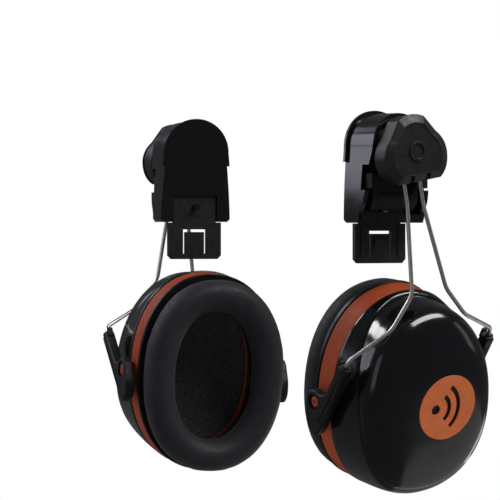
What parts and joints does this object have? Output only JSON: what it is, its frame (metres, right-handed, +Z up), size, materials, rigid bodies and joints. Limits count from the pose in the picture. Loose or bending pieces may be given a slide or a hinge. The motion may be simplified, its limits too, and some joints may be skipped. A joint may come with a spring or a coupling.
{
  "type": "helmet-mounted earmuff pair",
  "caption": "Pair of helmet-mounted ear defenders: slot clips with hinged, swivelling knobs, steel wire yokes with moulded arms, and oval cups with an orange pivot ring and soft cushions.",
  "frame": {"origin": "midway between the mouths of the two helmet slots, level with the bottom edges of the clips", "axes": "+X towards the wearer's left, -Y towards the wearer's front, +Z up"},
  "size_m": [0.2807, 0.1176, 0.1903],
  "materials": {
    "gloss_black": "injection-moulded ABS, high gloss black",
    "satin_black": "satin moulded black plastic",
    "matte_black": "matte moulded black plastic",
    "orange": "satin moulded burnt orange plastic",
    "badge_orange": "printed burnt orange emblem plate",
    "steel": "bright drawn stainless wire and small steel parts",
    "soft_black": "soft black polyurethane film over foam",
    "foam": "open-cell black acoustic foam"
  },
  "bodies": {
    "clips": {"left_clip_shell": "gloss_black", "left_slot_adapter": "satin_black", "left_adapter_screw": "steel", "left_detent_spring": "steel", "left_flip_pin": "steel", "right_clip_shell": "gloss_black", "right_slot_adapter": "satin_black", "right_adapter_screw": "steel", "right_detent_spring": "steel", "right_flip_pin": "steel"},
    "left_carrier": {"left_carrier": "matte_black", "left_knob_washer": "steel", "left_knob_screw": "steel"},
    "left_knob": {"left_knob_base": "satin_black", "left_knob_cap": "satin_black"},
    "left_yoke": {"left_wire_yoke": "steel", "left_yoke_arm_front": "satin_black", "left_yoke_arm_rear": "satin_black"},
    "left_cup": {"left_cup_shell": "gloss_black", "left_pivot_ring": "orange", "left_seal_plate": "gloss_black", "left_ear_cushion": "soft_black", "left_acoustic_foam": "foam", "left_cup_badge": "badge_orange"},
    "right_carrier": {"right_carrier": "matte_black", "right_knob_washer": "steel", "right_knob_screw": "steel"},
    "right_knob": {"right_knob_base": "satin_black", "right_knob_cap": "satin_black"},
    "right_yoke": {"right_wire_yoke": "steel", "right_yoke_arm_front": "satin_black", "right_yoke_arm_rear": "satin_black"},
    "right_cup": {"right_cup_shell": "gloss_black", "right_pivot_ring": "orange", "right_seal_plate": "gloss_black", "right_ear_cushion": "soft_black", "right_acoustic_foam": "foam", "right_cup_badge": "badge_orange"}
  },
  "joints": [
    {"name": "left_flip", "type": "hinge", "parent": "clips", "child": "left_carrier", "pos_m": [0.11145, 0.00086, 0.042], "axis": [0.108, -0.9942, 0], "range_deg": [0, 12]},
    {"name": "left_swing", "type": "hinge", "parent": "left_carrier", "child": "left_knob", "pos_m": [0.13332, 0.00324, 0.035], "axis": [0.9942, 0.108, 0], "range_deg": [-55, 90]},
    {"name": "left_height", "type": "slide", "parent": "left_knob", "child": "left_yoke", "axis": [0.0184, -0.1692, 0.9854], "range_m": [-0.009, 0.008]},
    {"name": "left_tilt", "type": "hinge", "parent": "left_yoke", "child": "left_cup", "pos_m": [0.08275, 0.0179, -0.08098], "axis": [-0.1064, 0.9796, 0.1702], "range_deg": [-32.7, 3.8]},
    {"name": "right_flip", "type": "hinge", "parent": "clips", "child": "right_carrier", "pos_m": [-0.11145, 0.00086, 0.042], "axis": [0.108, 0.9942, 0], "range_deg": [0, 12]},
    {"name": "right_swing", "type": "hinge", "parent": "right_carrier", "child": "right_knob", "pos_m": [-0.13332, 0.00324, 0.035], "axis": [0.9942, -0.108, 0], "range_deg": [-44, 101]},
    {"name": "right_height", "type": "slide", "parent": "right_knob", "child": "right_yoke", "axis": [0.0024, 0.0226, 0.9997], "range_m": [-0.0127, 0.0043]},
    {"name": "right_tilt", "type": "hinge", "parent": "right_yoke", "child": "right_cup", "pos_m": [-0.08519, -0.00459, -0.07897], "axis": [-0.108, -0.9939, 0.0227], "range_deg": [-8.6, 27.9]}
  ]
}
